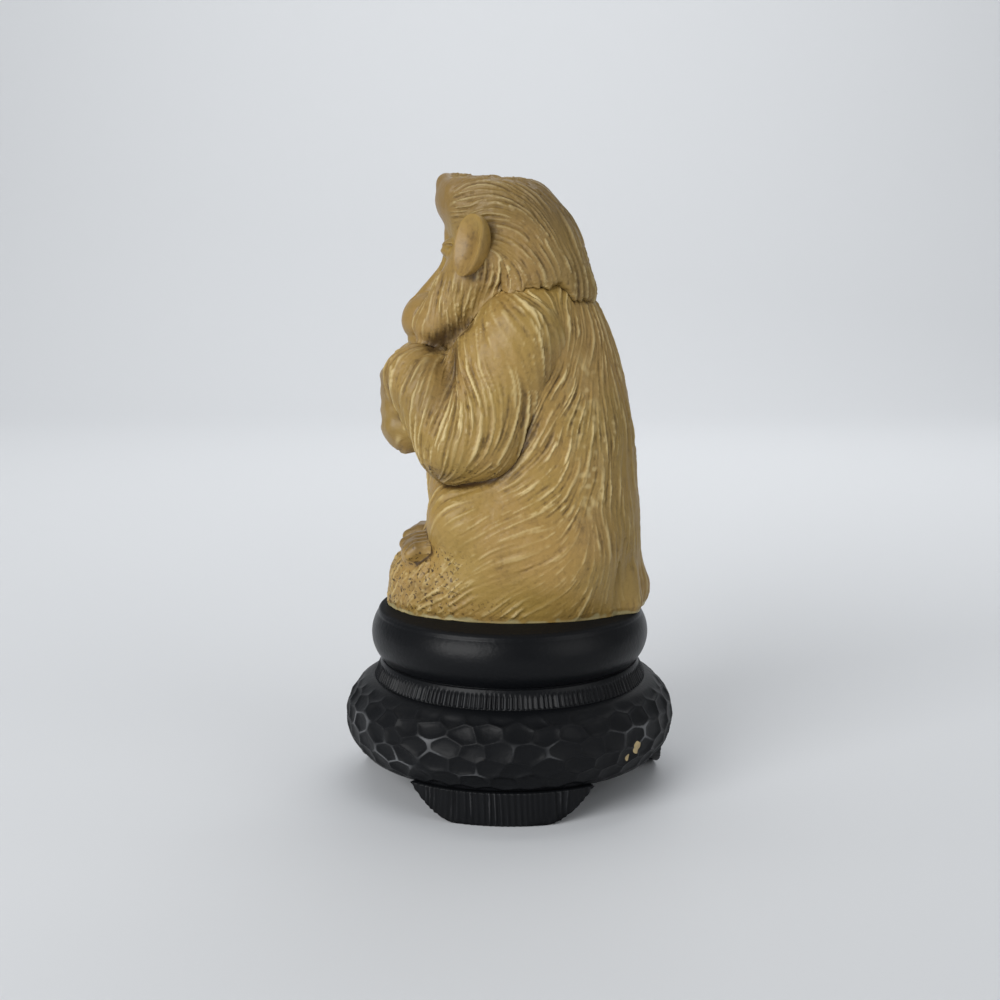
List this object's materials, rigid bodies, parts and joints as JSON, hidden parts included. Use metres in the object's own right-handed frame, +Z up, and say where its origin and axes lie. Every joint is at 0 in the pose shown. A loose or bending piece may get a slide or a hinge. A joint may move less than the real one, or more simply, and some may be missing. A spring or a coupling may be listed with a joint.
{
  "type": "monkey figurine",
  "caption": "Seated monkey figurine with clasped hands and carved fur, cast in cream resin, fixed to a round black stand with a ribbed collar, pebbled drum and bracket feet.",
  "frame": {"origin": "centre of the stand on the plane that its feet rest on", "axes": "+Z up, the monkey looks along -X, its left side is -Y"},
  "size_m": [0.0566, 0.0566, 0.102],
  "materials": {
    "cream_resin": "satin cast resin with brown patina in the carving",
    "satin_black": "satin black paint on resin",
    "matte_black": "matte black paint on resin, worn grey on the ridges",
    "screw_steel": "plain steel"
  },
  "bodies": {
    "root": {"monkey_figure": "cream_resin", "seat_ring": "satin_black", "pebbled_drum": "matte_black", "stand_foot_left": "matte_black", "stand_foot_rear_right": "matte_black", "stand_foot_front_right": "matte_black", "fixing_screw": "screw_steel", "screw_washer": "screw_steel"}
  },
  "joints": []
}
